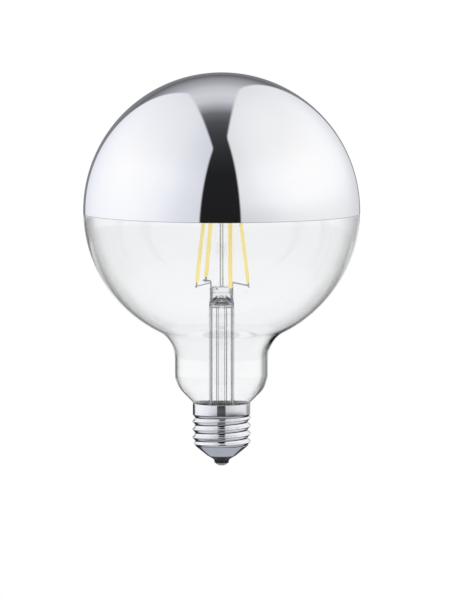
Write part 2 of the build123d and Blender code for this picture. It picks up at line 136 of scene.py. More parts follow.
# The arched groove over the hole, by its rise, how fast it falls to the sides, its depth, its half
# width, and how far from the middle it starts and is full
ARCH_RISE = 4.4 * MM
ARCH_FALL = 0.105 / MM
ARCH_DEPTH = 0.35 * MM
ARCH_HALF_WIDTH = 0.45 * MM
ARCH_FROM = 1.5 * MM
ARCH_FULL_AT = 2.1 * MM
# A long dent at the top left, by its middle, its depth, its stretch across, its floor and its rim
DENT_X = -3.2 * MM
DENT_DROP = 1.0 * MM
DENT_DEPTH = 0.6 * MM
DENT_STRETCH = 0.35
DENT_FLOOR = 0.25 * MM
DENT_RIM = 0.65 * MM

# The draw lines in the stem's bore, by depth, number round it, twist in radians per metre and
# start, and the heights between which they come and from which they go
DRAW_LINES = [(0.020 * MM, 5, 9, 1.0), (0.012 * MM, 9, -14, 0.0), (0.008 * MM, 14, 0, 0.0)]
DRAW_LINES_COME = (32 * MM, 40 * MM)
DRAW_LINES_GO_FROM = 69 * MM

# The floor lies well below the lamp, which is held by its cap and throws its shadow down there.
# It glows a little for the camera alone, so that it shows white.
FLOOR_HEIGHT = -0.3
FLOOR_SIZE = 1.5
FLOOR_GRAIN = 0.02
FLOOR_GLOW = 0.12

# How fine the turned meshes are, what counts as no length, and what counts as an edge
TURN_STEPS = 224
ARC_STEP = radians(2.0)
THREAD_STEP = 0.12 * MM
PRESS_STEP = 0.18 * MM
BORE_STEP = 2.5 * MM
EDGE_STEPS = 8
PRESS_TOP_INSETS = (1.0 * MM, 0.6 * MM, 0.3 * MM)
INNER_THREAD_STRIDE = 3
NO_LENGTH = MM / 1000
SHARP_ANGLE = radians(50)
TURNS = [2 * pi * step / TURN_STEPS for step in range(TURN_STEPS)]

glass_radius = GLOBE_RADIUS - MIRROR_THICKNESS
lower_radius = LOWER_ARC_RADIUS - MIRROR_THICKNESS
lower_offset = glass_radius - lower_radius
taper_rise = CAP_HEIGHT + RIM_GAP - COLLAR_RADIUS
neck_round_height = NECK_RADIUS - NECK_ROUND + taper_rise + NECK_ROUND * sqrt(2)
shoulder_height = neck_round_height + NECK_LENGTH
shoulder_radius = NECK_RADIUS + SHOULDER_FILLET
shoulder_reach = lower_radius + SHOULDER_FILLET
globe_height = shoulder_height + sqrt(shoulder_reach**2 - (shoulder_radius - lower_offset) ** 2)
spigot_radius = COLLAR_RADIUS - SHEET - CEMENT_THICKNESS
spigot_bottom = CAP_HEIGHT - COLLAR_HEIGHT + SPIGOT_RISE
mirror_edge = globe_height - MIRROR_BELOW_WIDEST
collar_bottom = CAP_HEIGHT - COLLAR_HEIGHT
thread_mean_radius = THREAD_MAJOR_RADIUS - THREAD_DEPTH / 2
press_top = spigot_bottom + STEM_LENGTH
press_bottom = press_top - PRESS_HEIGHT
press_full_height = press_bottom + PRESS_SHOULDER
bore_top = press_bottom - STEM_WALL
stem_bore = STEM_RADIUS - STEM_WALL
tube_tip = spigot_bottom - TUBE_REACH


# Turned and drawn meshes

def eased(value, low, high):
    """A share that eases from 0 to 1 while the value goes from low to high."""
    share = min(max((value - low) / (high - low), 0), 1)
    return share * share * (3 - 2 * share)


def within(value, comes, goes):
    """A share that eases up over one range of values and down over another."""
    return eased(value, *comes) * (1 - eased(value, *goes))


def arc_points(centre, radius, start, end):
    """Outline points along an arc; angles are from the level outward direction, in radians."""
    count = max(2, round(abs(end - start) / ARC_STEP))
    angles = [start + (end - start) * i / count for i in range(count + 1)]
    return [(centre[0] + radius * cos(a), centre[1] + radius * sin(a)) for a in angles]


def steps_between(start, end, step):
    """Evenly spaced values from start to end, about a step apart."""
    count = max(1, round(abs(end - start) / step))
    return [start + (end - start) * i / count for i in range(count + 1)]


def bulb_outline(inset):
    """The bulb's outline from its top down to the end of the spigot, at an inset."""
    toward_shoulder = atan2(shoulder_height - globe_height, shoulder_radius - lower_offset)
    taper = -pi / 4
    spigot = spigot_radius - FILM_GAP
    hollow_x = spigot + SPIGOT_FILLET
    hollow = (hollow_x, hollow_x + taper_rise - SPIGOT_FILLET * sqrt(2))
    rounding = (NECK_RADIUS - NECK_ROUND, neck_round_height)
    shoulder = (shoulder_radius, shoulder_height)
    points = arc_points((0, globe_height), glass_radius - inset, pi / 2, 0)
    points += arc_points((lower_offset, globe_height), lower_radius - inset, 0, toward_shoulder)
    points += arc_points(shoulder, SHOULDER_FILLET + inset, pi + toward_shoulder, pi)
    points += arc_points(rounding, NECK_ROUND - inset, 0, taper)
    points += arc_points(hollow, SPIGOT_FILLET + inset, pi + taper, pi)
    points.append((spigot - inset, spigot_bottom))
    return points


def tidy_row(points):
    """A row of outline points without repeats."""
    kept = points[:1]
    for p in points[1:]:
        if hypot(p[0] - kept[-1][0], p[1] - kept[-1][1]) > NO_LENGTH:
            kept.append(p)
    return kept


def turned_rings(row, gain=None):
    """The level rings of a turned outline; gain thins the radius by the turn and the height."""
    rings = []
    for radius, height in tidy_row(row):
        if radius < NO_LENGTH:
            rings.append([(0, 0, height)])
            continue
        reach = [radius - (gain(turn, height) if gain else 0) for turn in TURNS]
        rings.append([(r * cos(turn), r * sin(turn), height) for r, turn in zip(reach, TURNS)])
    return rings


def skinned(name, *strips):
    """A mesh over strips of rings; a ring of one point closes its strip."""
    vertices, faces = [], []
    for rings in strips:
        starts = []
        for ring in rings:
            starts.append((len(vertices), len(ring)))
            vertices += ring
        for (low, low_count), (high, high_count) in zip(starts, starts[1:]):
            for step in range(TURN_STEPS):
                after = (step + 1) % TURN_STEPS
                corners = (low + step % low_count, high + step % high_count,
                           high + after % high_count, low + after % low_count)
                faces.append(tuple(dict.fromkeys(corners)))
    mesh = bpy.data.meshes.new(name)
    mesh.from_pydata(vertices, [], faces)
    mesh.shade_smooth()
    mesh.update()
    piece = bpy.data.objects.new(name, mesh)
    bpy.context.collection.objects.link(piece)
    return piece


# Node materials

def add(tree, kind, inputs=None, **settings):
    """A node with some of its properties and input values set."""
    node = tree.nodes.new(kind)
    for key, value in settings.items():
        setattr(node, key, value)
    for key, value in (inputs or {}).items():
        if isinstance(value, bpy.types.NodeSocket):
            tree.links.new(value, node.inputs[key])
        else:
            node.inputs[key].default_value = value
    return node


def maths(tree, operation, first, second=0.0):
    """The output of a Math node over two values or sockets."""
    return add(tree, "ShaderNodeMath", {0: first, 1: second}, operation=operation).outputs[0]


def weighed(tree, first, first_weight, second, second_weight):
    """The sum of two sockets, each times its weight, which may be a socket too."""
    return maths(tree, "ADD", maths(tree, "MULTIPLY", first, first_weight),
                 maths(tree, "MULTIPLY", second, second_weight))


def smooth_range(tree, value, low, high, start=0.0, end=1.0):
    """A value eased from start to end while the input goes from low to high."""
    inputs = {"Value": value, "From Min": low, "From Max": high, "To Min": start, "To Max": end}
    return add(tree, "ShaderNodeMapRange", inputs, interpolation_type="SMOOTHSTEP").outputs[0]


def ramp(tree, factor, stops):
    """A colour ramp; each stop is a position and a colour or a grey level."""
    node = add(tree, "ShaderNodeValToRGB", {"Fac": factor})
    elements = node.color_ramp.elements
    while len(elements) < len(stops):
        elements.new(1.0)
    for element, (position, colour) in zip(elements, stops):
        element.position = position
        element.color = (*colour, 1) if isinstance(colour, tuple) else (colour, colour, colour, 1)
    return node.outputs["Color"]


# The Mix node's sockets for colours, which share their names with its other sockets
MIX_FIRST, MIX_SECOND, MIX_RESULT = 6, 7, 2


def mix_colour(tree, factor, first, second):
    """A colour that goes from the first to the second by a factor."""
    inputs = {"Factor": factor, MIX_FIRST: first, MIX_SECOND: second}
    return add(tree, "ShaderNodeMix", inputs, data_type="RGBA").outputs[MIX_RESULT]


def grey(level):
    """A grey colour of a level."""
    return (level, level, level, 1)


def new_material(name):
    """An empty node material with its shader and output, and the object's coordinates."""
    material = bpy.data.materials.new(name)
    material.use_nodes = True
    tree = material.node_tree
    tree.nodes.clear()
    shader = tree.nodes.new("ShaderNodeBsdfPrincipled")
    output = tree.nodes.new("ShaderNodeOutputMaterial")
    tree.links.new(shader.outputs["BSDF"], output.inputs["Surface"])
    place = add(tree, "ShaderNodeTexCoord").outputs["Object"]
    return material, tree, shader, place


def noise(tree, place, size, detail=3.0, roughness=0.55, stretch=(1, 1, 1)):
    """Noise whose features are about a size across, longer along a stretched axis."""
    scale = tuple(1 / s for s in stretch)
    mapped = add(tree, "ShaderNodeMapping", {"Vector": place, "Scale": scale}).outputs[0]
    inputs = {"Vector": mapped, "Scale": 1 / size, "Detail": detail, "Roughness": roughness}
    return add(tree, "ShaderNodeTexNoise", inputs).outputs["Fac"]


def bump(tree, shader, height, distance, strength=1.0):
    """Adds a bump to a shader."""
    inputs = {"Height": height, "Distance": distance, "Strength": strength}
    tree.links.new(add(tree, "ShaderNodeBump", inputs).outputs[0], shader.inputs["Normal"])


def round_place(tree, place):
    """Coordinates with the turn round the lamp's axis, the radius and the height, in metres."""
    split = add(tree, "ShaderNodeSeparateXYZ", {0: place})
    x, y, z = split.outputs
    turn = maths(tree, "ARCTAN2", y, x)
    return turn, maths(tree, "SQRT", weighed(tree, x, x, y, y)), z


# The size of the specks in glass, and the roughness that they add
SPECK_SIZE = 1.3 * MM
SPECK_ROUGHNESS = 0.004


def glass_material(name, tint, density, wave_size, wave_depth, sheen, ior):
    """Clear glass with slow waves, faint specks, a little absorption and some surface sheen."""
    material, tree, shader, place = new_material(name)
    shader.inputs["Transmission Weight"].default_value = 1.0
    shader.inputs["IOR"].default_value = ior
    shader.inputs["Specular IOR Level"].default_value = sheen
    specks = noise(tree, place, SPECK_SIZE, detail=5.0, roughness=0.7)
    spread = smooth_range(tree, specks, 0.62, 0.80, 0.0, SPECK_ROUGHNESS)
    tree.links.new(spread, shader.inputs["Roughness"])
    stops = [(0.3, (0.985, 0.99, 0.992)), (0.7, (1, 1, 1))]
    tree.links.new(ramp(tree, noise(tree, place, 40 * MM), stops), shader.inputs["Base Color"])
    bump(tree, shader, noise(tree, place, wave_size, detail=1.0), wave_depth)
    volume = add(tree, "ShaderNodeVolumeAbsorption", {"Color": (*tint, 1), "Density": density})
    tree.links.new(volume.outputs[0], tree.nodes["Material Output"].inputs["Volume"])
    return material


# The film's dark trimmed edge: the heights between which it ends, and its colour
TRIM_FROM = mirror_edge + 0.1 * MM
TRIM_TO = mirror_edge + 0.35 * MM
TRIM_COLOUR = (0.42, 0.42, 0.44, 1)


def mirror_material():
    """Bright silver film: faint clouds, a finely uneven gloss and a dark trimmed edge."""
    material, tree, shader, place = new_material("mirror_silver")
    shader.inputs["Metallic"].default_value = 1.0
    height = round_place(tree, place)[2]
    clouds = noise(tree, place, 18 * MM, detail=4.0)
    silver = ramp(tree, clouds, [(0.3, (0.97, 0.97, 0.975)), (0.7, (0.985, 0.985, 0.99))])
    edge = smooth_range(tree, height, TRIM_FROM, TRIM_TO, 1.0, 0.0)
    tree.links.new(mix_colour(tree, edge, silver, TRIM_COLOUR), shader.inputs["Base Color"])
    fine = noise(tree, place, 0.8 * MM, detail=4.0)
    tree.links.new(smooth_range(tree, fine, 0.3, 0.8, 0.015, 0.035), shader.inputs["Roughness"])
    bump(tree, shader, noise(tree, place, 22 * MM, detail=1.0), 0.02 * MM)
    return material


# How strongly the phosphor glows in its own colour, as painted light that makes up for the little
# light reaching it inside the glass, and the spacing of the chips that show faintly through it
PHOSPHOR_PAINTED_GLOW = 0.52
CHIP_SPACING = 1.15 * MM


def phosphor_material():
    """Pale yellow phosphor in silicone: fine grain, the chips' row faintly showing, and a painted
    glow.
    """
    material, tree, shader, place = new_material("phosphor")
    grain = noise(tree, place, 0.25 * MM, detail=4.0)
    height = round_place(tree, place)[2]
    row = maths(tree, "SINE", maths(tree, "MULTIPLY", height, 2 * pi / CHIP_SPACING))
    tone = maths(tree, "ADD", maths(tree, "MULTIPLY", row, 0.12), grain)
    colour = ramp(tree, tone, [(0.25, (0.92, 0.76, 0.26)), (0.75, (1.0, 0.88, 0.42))])
    tree.links.new(colour, shader.inputs["Base Color"])
    # Painted light: the coat glows in its own colour, though the lamp is off
    tree.links.new(colour, shader.inputs["Emission Color"])
    shader.inputs["Emission Strength"].default_value = PHOSPHOR_PAINTED_GLOW
    shader.inputs["Roughness"].default_value = 0.38
    shader.inputs["Subsurface Weight"].default_value = 0.3
    shader.inputs["Subsurface Radius"].default_value = (1.0, 0.8, 0.3)
    shader.inputs["Subsurface Scale"].default_value = 0.6 * MM
    bump(tree, shader, grain, 0.03 * MM, 0.6)
    return material


def metal_material(name, light, dark, roughness, streak, metallic):
    """Plain metal with fine marks; streak stretches the marks along each axis."""
    material, tree, shader, place = new_material(name)
    shader.inputs["Metallic"].default_value = metallic
    marks = noise(tree, place, 0.35 * MM, detail=5.0, stretch=streak)
    tree.links.new(ramp(tree, marks, [(0.3, dark), (0.7, light)]), shader.inputs["Base Color"])
    spread = smooth_range(tree, marks, 0.2, 0.8, roughness * 0.7, roughness * 1.3)
    tree.links.new(spread, shader.inputs["Roughness"])
    bump(tree, shader, marks, 0.01 * MM, 0.5)
    return material


def cap_material():
    """Bright nickel plate: fine lines from rolling round the cap, and soft wear."""
    material, tree, shader, place = new_material("cap_nickel")
    shader.inputs["Metallic"].default_value = 1.0
    turn, radius, height = round_place(tree, place)
    along = maths(tree, "MULTIPLY", turn, 2 * MM)
    rolled = add(tree, "ShaderNodeCombineXYZ", {0: along, 1: radius, 2: height}).outputs[0]
    lines = noise(tree, rolled, 0.12 * MM, detail=4.0)
    wear = noise(tree, place, 3.5 * MM, detail=6.0, roughness=0.65)
    colour = ramp(tree, wear, [(0.35, (0.89, 0.89, 0.91)), (0.65, (0.97, 0.97, 0.98))])
    tree.links.new(colour, shader.inputs["Base Color"])
    blend = weighed(tree, lines, 0.5, wear, 0.5)
    tree.links.new(smooth_range(tree, blend, 0.35, 0.7, 0.06, 0.15), shader.inputs["Roughness"])
    bump(tree, shader, lines, 0.0006 * MM, 0.5)
    return material


# The cement is burnt round one place, left of the front, at minus this turn in radians. The burn
# fades between two angles from there, and the two tones are added to the noise in it and beyond.
BURNT_TURN = 2.15
BURNT_FROM = 0.25
BURNT_TO = 0.5
BURNT_TONE = -0.09
# The tone beyond the burn is painted light, a lift for the little light that reaches the cement
# behind the glass
PAINTED_LIGHT_TONE = 0.04


def cement_material():
    """Baked cement: a grainy pale crust with dark burnt patches, lifted paler beyond the burn as
    painted light.
    """
    material, tree, shader, place = new_material("cement")
    grain = noise(tree, place, 0.7 * MM, detail=8.0, roughness=0.7)
    patches = noise(tree, place, 4.5 * MM, detail=3.0)
    away = maths(tree, "ABSOLUTE", maths(tree, "ADD", round_place(tree, place)[0], BURNT_TURN))
    # The burn darkens its own place, and beyond it the tone is lifted as painted light
    burnt = smooth_range(tree, away, BURNT_FROM, BURNT_TO, BURNT_TONE, PAINTED_LIGHT_TONE)
    tone = maths(tree, "ADD", weighed(tree, grain, 0.45, patches, 0.55), burnt)
    stops = [(0.38, (0.012, 0.012, 0.013)), (0.43, (0.26, 0.255, 0.25)), (0.50, (0.90, 0.89, 0.87))]
    tree.links.new(ramp(tree, tone, stops), shader.inputs["Base Color"])
    shader.inputs["Roughness"].default_value = 0.6
    bump(tree, shader, grain, 0.15 * MM)
    return material


def insulator_material():
    """Black glassy insulator with an uneven gloss and fine pits."""
    material, tree, shader, place = new_material("black_insulator")
    skin = noise(tree, place, 2.0 * MM, detail=5.0)
    tree.links.new(ramp(tree, skin, [(0.3, 0.008), (0.7, 0.022)]), shader.inputs["Base Color"])
    tree.links.new(smooth_range(tree, skin, 0.3, 0.7, 0.16, 0.32), shader.inputs["Roughness"])
    bump(tree, shader, noise(tree, place, 0.5 * MM, detail=4.0), 0.02 * MM)
    return material


def dull_material(name, light, dark, size, roughness, relief):
    """A moulded or coated surface with a fine mottle and a soft relief."""
    material, tree, shader, place = new_material(name)
    mottle = noise(tree, place, size, detail=5.0)
    tree.links.new(ramp(tree, mottle, [(0.3, dark), (0.7, light)]), shader.inputs["Base Color"])
    tree.links.new(smooth_range(tree, mottle, 0.3, 0.7, roughness * 0.8, roughness * 1.2),
                   shader.inputs["Roughness"])
    bump(tree, shader, mottle, relief)
    return material


# Glasses: tint, absorption, the waves' size and depth, surface sheen and index of refraction
GLASSES = {
    "clear_glass": ((0.90, 0.92, 0.93), 120.0, 30 * MM, 0.012 * MM, 0.5, 1.5),
    "stem_glass": ((0.88, 0.90, 0.91), 160.0, 5 * MM, 0.03 * MM, 0.5, 1.5),
    "drawn_glass": ((0.93, 0.935, 0.94), 60.0, 9 * MM, 0.02 * MM, 0.2, 1.12),
}
# Plain metals: light and dark tone, roughness, streaks along each axis, and how metallic they are
METALS = {
    "filament_metal": ((0.95, 0.95, 0.93), (0.85, 0.85, 0.84), 0.4, (1, 1, 8), 0.1),
    "nickel_wire": ((0.62, 0.62, 0.63), (0.42, 0.42, 0.43), 0.35, (1, 1, 4), 1.0),
    "copper_wire": ((0.80, 0.45, 0.28), (0.55, 0.28, 0.16), 0.3, (1, 1, 6), 1.0),
    "tinned_contact": ((0.78, 0.78, 0.80), (0.55, 0.55, 0.57), 0.28, (1, 1, 1), 1.0),
}
# Dull surfaces: light and dark tone, the mottle's size, roughness and relief
DULL_SURFACES = {
    "circuit_board": ((0.80, 0.80, 0.76), (0.70, 0.70, 0.66), 1.5 * MM, 0.4, 0.02 * MM),
    "capacitor_can": ((0.78, 0.78, 0.80), (0.66, 0.66, 0.68), 2 * MM, 0.35, 0.02 * MM),
    "ferrite": ((0.06, 0.05, 0.05), (0.02, 0.02, 0.02), 0.6 * MM, 0.6, 0.04 * MM),
    "package_black": ((0.03, 0.03, 0.03), (0.012, 0.012, 0.012), 0.3 * MM, 0.5, 0.02 * MM),
    "resistor_coat": ((0.22, 0.36, 0.26), (0.12, 0.22, 0.16), 1 * MM, 0.3, 0.02 * MM),
}
materials = {
    "mirror_silver": mirror_material(),
    "phosphor": phosphor_material(),
    "cap_nickel": cap_material(),
    "cement": cement_material(),
    "black_insulator": insulator_material(),
}
for make, table in (
        (glass_material, GLASSES), (metal_material, METALS), (dull_material, DULL_SURFACES)):
    materials.update({name: make(name, *values) for name, values in table.items()})
node_slots = {part["node"]: part["material_slot"] for part in frame["record"]["subparts"]}


def dress(piece, slot):
    """Gives a piece the material of a slot."""
    piece.data.materials.clear()
    piece.data.materials.append(materials[slot])


for node_name, solid in frame["nodes"].items():
    dress(solid, node_slots[node_name])


# The outer pieces and the glass, meshed finer than the solids that they stand for

def finish_piece(piece, material, *nodes):
    """Dresses a piece, fixes it to the lamp and lets it stand for CAD nodes."""
    piece.data.set_sharp_from_angle(angle=SHARP_ANGLE)
    dress(piece, material)
    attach(piece, "root")
    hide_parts(*nodes)


def wall_gain(turn, height):
    """How much thicker the blown wall is, by the turn and the height: more on the right."""
    globe = (0.5 + 0.5 * cos(turn)) ** 2 * within(height, GLOBE_GAIN_COMES, GLOBE_GAIN_GOES)
    neck = eased(cos(turn), cos(NECK_GAIN_REACH), 1) * within(height, NECK_GAIN_COMES, NECK_GAIN_GOES)
    return globe * GLOBE_GAIN + neck * NECK_GAIN


def add_globe():
    """The blown bulb: outer skin down, round the spigot's end, and inner skin up."""
    outer = turned_rings(bulb_outline(0))
    inner = turned_rings(bulb_outline(GLASS_WALL)[::-1], wall_gain)
    finish_piece(skinned("globe_glass", outer + inner), "clear_glass", "glass_globe")


def film_row(radius):
    """The outline points of the film at a radius, from its top to its trimmed edge."""
    last = -acos(sqrt(1 - (MIRROR_BELOW_WIDEST / radius) ** 2))
    return arc_points((0, globe_height), radius, pi / 2, last)


def add_mirror():
    """The silver film, a hair clear of the glass under it."""
    outer = film_row(GLOBE_RADIUS)
    inner = film_row(GLOBE_RADIUS - MIRROR_THICKNESS + FILM_GAP)
    rings = turned_rings(outer + inner[::-1])
    finish_piece(skinned("mirror_film", rings), "mirror_silver", "mirror_coating")


def thread_ring(height, inset):
    """A level ring of the thread: its centre turns once in each pitch, with a sharper crest."""
    from_top = eased(collar_bottom - height, 0, THREAD_RUNOUT)
    from_bottom = eased(height - CONE_TOP, 0, THREAD_RUNOUT)
    radius = thread_mean_radius * from_top * from_bottom - inset
    radius += COLLAR_RADIUS * (1 - from_top) + CONE_TOP_RADIUS * (1 - from_bottom)
    swing = THREAD_DEPTH / 2 * from_top * from_bottom
    around = 2 * pi * (height - THREAD_CREST_HEIGHT) / THREAD_PITCH
    x, y = swing * cos(around), swing * sin(around)
    ring = []
    for turn in TURNS:
        reach = radius - CREST_SHARPNESS * from_top * from_bottom * (1 - cos(2 * (turn - around)))
        ring.append((x + reach * cos(turn), y + reach * sin(turn), height))
    return ring


def add_cap():
    """The drawn cap: collar with a rounded rim, rolled thread and cone, one sheet."""
    half = SHEET / 2
    rim = (COLLAR_RADIUS - half, CAP_HEIGHT - half)
    heights = steps_between(collar_bottom, CONE_TOP, THREAD_STEP)
    rings = turned_rings(arc_points(rim, half, pi / 2, 0))
    rings += [thread_ring(height, 0) for height in heights]
    rings += turned_rings([(CONE_BOTTOM_RADIUS, CONE_BOTTOM),
                           (CONE_BOTTOM_RADIUS - SHEET, CONE_BOTTOM + SHEET)])
    rings += [thread_ring(height, SHEET) for height in heights[::-INNER_THREAD_STRIDE]]
    inner_rim = arc_points(rim, half, pi, pi / 2)
    rings += turned_rings([(COLLAR_RADIUS - SHEET, collar_bottom), *inner_rim])
    finish_piece(skinned("cap_sheet", rings), "cap_nickel", "cap_shell")


def press_reach(turn, inset, height):
    """How far the press reaches from the axis; its level sections are superellipses."""
    jaw_mark = press_top - JAW_MARK_DROP
    step = JAW_STEP * eased(height, jaw_mark - JAW_STEP_HALF, jaw_mark + JAW_STEP_HALF)
    across = abs(cos(turn)) / (PRESS_HALF_WIDTH - inset)
    along = abs(sin(turn)) / ((PRESS_HALF_DEPTH - inset) * (1 + step))
    return (across**PRESS_POWER + along**PRESS_POWER) ** (-1 / PRESS_POWER)


def press_marks(x, height, to_tube):
    """How deep the hole, the arched groove and the dent go into the press's front."""
    hole = hypot(x, height - press_bottom - HOLE_RISE)
    arch = abs(height - press_bottom - ARCH_RISE + ARCH_FALL * x * x)
    arch_share = eased(abs(x), ARCH_FROM, ARCH_FULL_AT) * (1 - to_tube)
    dent = hypot(DENT_STRETCH * (x - DENT_X), height - press_top + DENT_DROP)
    return (HOLE_DEPTH * (1 - eased(hole, HOLE_FLOOR, HOLE_RIM))
            + ARCH_DEPTH * (1 - eased(arch, 0, ARCH_HALF_WIDTH)) * arch_share
            + DENT_DEPTH * (1 - eased(dent, DENT_FLOOR, DENT_RIM)))


def press_ring(inset, height):
    """A level ring of the press, which blends into the round tube over its shoulder."""
    to_tube = 1 - eased(height, press_bottom, press_full_height)
    ring = []
    for turn in TURNS:
        reach = press_reach(turn, inset, height) * (1 - to_tube) + STEM_RADIUS * to_tube
        x, y = reach * cos(turn), reach * sin(turn)
        if y < 0:
            y += press_marks(x, height, to_tube)
        ring.append((x, y, height))
    return ring


def drawn_gain(turn, height):
    """The slow unevenness of the drawn tube's bore, as streaks that twist a little."""
    streaks = sum(depth * sin(count * turn + twist * height + start)
                  for depth, count, twist, start in DRAW_LINES)
    return streaks * within(height, DRAW_LINES_COME, (DRAW_LINES_GO_FROM, bore_top))


def add_stem():
    """The stem's flare, tube and press with the pumping tube in it, as one glass."""
    round_steps = [pi / 2 * i / EDGE_STEPS for i in range(EDGE_STEPS + 1)]
    drop = PRESS_TOP_ROUND
    down = steps_between(press_top - drop, press_bottom, PRESS_STEP)[1:]
    rings = [[(0, 0, press_top)]]
    rings += [press_ring(drop + inset, press_top) for inset in PRESS_TOP_INSETS]
    rings += [press_ring(drop * (1 - sin(a)), press_top - drop * (1 - cos(a))) for a in round_steps]
    rings += [press_ring(0, height) for height in down]
    flare_top = spigot_bottom + FLARE_HEIGHT
    stem_bottom = spigot_bottom - STEM_WALL
    rim = spigot_radius - GLASS_WALL
    reach = rim - STEM_RADIUS
    flare_radius = (reach**2 + FLARE_HEIGHT**2) / (2 * reach)
    centre = (STEM_RADIUS + flare_radius, flare_top)
    lowest = atan2(spigot_bottom - flare_top, rim - centre[0])
    inner_radius = flare_radius + STEM_WALL
    inner_rim = centre[0] - sqrt(inner_radius**2 - (flare_top - stem_bottom) ** 2)
    inner_lowest = atan2(stem_bottom - flare_top, inner_rim - centre[0])
    outside = arc_points(centre, flare_radius, pi, 2 * pi + lowest)
    outside += [(spigot_radius, spigot_bottom), (spigot_radius, stem_bottom)]
    rings += turned_rings(outside)
    inside = arc_points(centre, inner_radius, 2 * pi + inner_lowest, pi)
    round_start = bore_top - BORE_ROUND
    inside += [(stem_bore, height) for height in steps_between(flare_top, round_start, BORE_STEP)]
    inside += arc_points((stem_bore - BORE_ROUND, round_start), BORE_ROUND, 0, pi / 2)
    foot = TUBE_FOOT_ROUND
    inside += arc_points((TUBE_RADIUS + foot, bore_top - foot), foot, pi / 2, pi)
    rings += turned_rings(inside, drawn_gain)
    tip = (0, tube_tip + TUBE_RADIUS)
    rings += turned_rings(arc_points(tip, TUBE_RADIUS, 0, -pi / 2))
    hollow = arc_points(tip, TUBE_BORE, -pi / 2, 0)
    hollow += arc_points((0, press_bottom), TUBE_BORE, 0, pi / 2)
    piece = skinned("stem_body", rings, turned_rings(hollow))
    finish_piece(piece, "drawn_glass", "stem_glass", "exhaust_tube")
    piece.data.materials.append(materials["stem_glass"])
    for face in piece.data.polygons:
        face.material_index = int(face.center.z > press_bottom)


def add_rod():
    """The glass rod that stands on the press, with its melted button."""
    side = BUTTON_RADIUS - BUTTON_ROUND
    foot = ROD_FOOT_ROUND
    button_bottom = BUTTON_TOP - BUTTON_HEIGHT
    row = [(0, BUTTON_TOP)]
    row += arc_points((side, BUTTON_TOP - BUTTON_ROUND), BUTTON_ROUND, pi / 2, 0)
    row += arc_points((side, button_bottom + BUTTON_ROUND), BUTTON_ROUND, 0, -BUTTON_UNDERCUT)
    row += [(ROD_RADIUS, button_bottom)]
    row += arc_points((ROD_RADIUS - foot, press_top + foot + FILM_GAP), foot, 0, -pi / 2)
    row += [(0, press_top + FILM_GAP)]
    finish_piece(skinned("rod_glass", turned_rings(row)), "stem_glass", "support_rod")


add_globe()
add_mirror()
add_cap()
add_stem()
add_rod()


# The studio

def add_floor():
    """A wide pale floor; it shows white wherever the lamp's shadow doesn't fall."""
    half = FLOOR_SIZE / 2
    mesh = bpy.data.meshes.new("floor")
    corners = [(-half, -half), (half, -half), (half, half), (-half, half)]
    mesh.from_pydata([(x, y, FLOOR_HEIGHT) for x, y in corners], [], [(0, 1, 2, 3)])
    floor = bpy.data.objects.new("floor", mesh)
    bpy.context.collection.objects.link(floor)
    material, tree, shader, place = new_material("pale_floor")
    tone = noise(tree, place, FLOOR_GRAIN, detail=4.0)
    tree.links.new(ramp(tree, tone, [(0.3, 0.93), (0.7, 0.95)]), shader.inputs["Base Color"])
    shader.inputs["Roughness"].default_value = 1.0
    shader.inputs["Specular IOR Level"].default_value = 0.0
    rays = add(tree, "ShaderNodeLightPath").outputs
    glow = maths(tree, "MULTIPLY", rays["Is Camera Ray"], FLOOR_GLOW)
    shader.inputs["Emission Color"].default_value = (1, 1, 1, 1)
    tree.links.new(glow, shader.inputs["Emission Strength"])
    mesh.materials.append(material)
    floor.visible_glossy = False


# Soft boxes at both sides, by the directions of their corners and their brightest spot, their
# tint away from it, and their brightness low down
LEFT_BOX = {
    "front_foot": Vector((-0.313, -0.946, -0.088)), "front_top": Vector((-0.110, -0.543, 0.833)),
    "back_top": Vector((-0.231, 0.581, 0.780)), "back_foot": Vector((-0.370, 0.929, 0.0)),
    "hot_spot": Vector((-0.912, 0.132, 0.387)), "tint": (0.895, 0.912, 1.0), "low_level": 1.0,
}
RIGHT_BOX = {
    "front_foot": Vector((0.274, -0.958, -0.087)), "front_top": Vector((0.066, -0.385, 0.920)),
    "back_top": Vector((0.120, 0.618, 0.777)), "back_foot": Vector((0.227, 0.974, 0.0)),
    "hot_spot": Vector((0.858, 0.015, 0.514)), "tint": (0.95, 0.96, 1.0), "low_level": 0.89,
}
# How soft a box's edges are, as the sine of an angle
BOX_EDGE = 0.018
# Brightness of a box by the angle from its brightest spot, in degrees
BOX_FALL = [(0, 1.0), (30, 0.99), (45, 0.95), (60, 0.85), (69, 0.80), (84, 0.74), (180, 0.60)]
TINT_FULL_AT = 66
# How much of it is left near a box's top
BOX_TOP_LEVEL = 0.90
# Brightness of the room from the front, over the top and down to the back, in degrees
ROOM_FALL = [(0, 0.0135), (34, 0.015), (52, 0.027), (71, 0.049), (83, 0.080), (93, 0.155),
             (101, 0.38), (108, 0.57), (118, 0.64), (129, 0.55), (137, 0.42), (148, 0.29),
             (158, 0.14), (167, 0.22), (180, 0.24)]
ROOM_TINT = (0.96, 0.98, 1.06)
# Colours and levels low in the room: in front, all round, behind, and straight under the lamp
LOW_FRONT = (0.10, 0.102, 0.112, 1)
DARK_LOW = 0.03
BACK_LOW = 0.85
UNDERSIDE = (0.40, 0.42, 0.47, 1)
# Flags low behind the lamp, black at the left and grey at the right, with their levels
FLAGS = [(Vector((-0.42, 0.90, -0.12)), 0.01), (Vector((0.66, 0.74, -0.12)), 0.34)]
